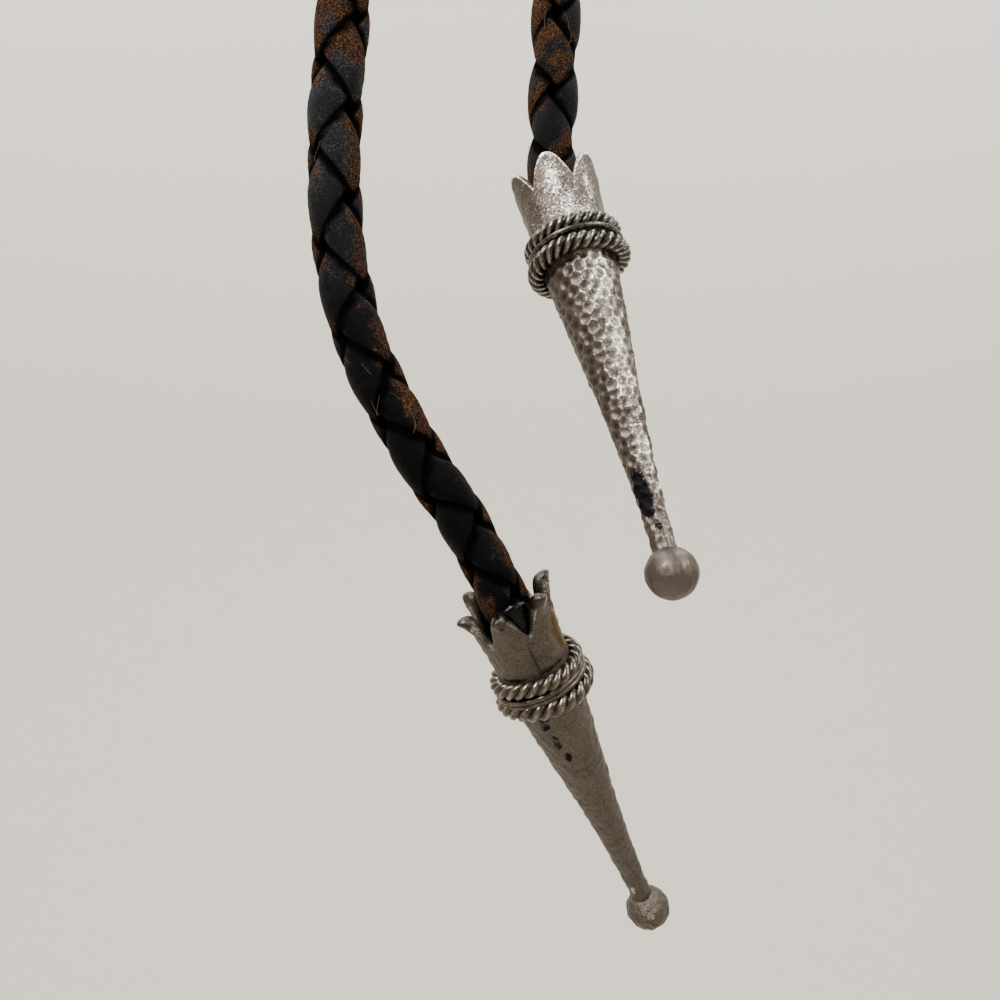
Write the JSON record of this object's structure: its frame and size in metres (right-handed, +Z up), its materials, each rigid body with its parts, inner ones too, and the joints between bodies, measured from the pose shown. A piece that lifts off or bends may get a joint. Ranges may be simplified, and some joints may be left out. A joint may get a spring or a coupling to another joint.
{
  "type": "bolo tie",
  "caption": "Braided leather bolo tie worn as a neck loop, with a plain oval slide and a tapered metal tip with a toothed cup, twisted-wire collar and ball end on each hanging cord.",
  "frame": {"origin": "the inner side of the cord at the nape, where the tie hangs round a neck", "axes": "+Z up as worn, the wearer faces -Y, +X to the right of someone who looks at the front"},
  "size_m": [0.1282, 0.1463, 0.4374],
  "materials": {
    "braided_leather": "black braided leather, matt, worn through to rusty brown in patches",
    "left_tip_metal": "aged silver-coloured casting, brownish grey and grainy, bright on worn points",
    "right_tip_metal": "aged silver-coloured casting, hammered cone, dark in the hollows and bright on the ridges",
    "slide_metal": "plain aged silver-coloured metal, satin"
  },
  "bodies": {
    "root": {"neck_cord": "braided_leather", "left_end_cord": "braided_leather", "right_end_cord": "braided_leather", "left_tip": "left_tip_metal", "right_tip": "right_tip_metal", "slide": "slide_metal"}
  },
  "joints": []
}
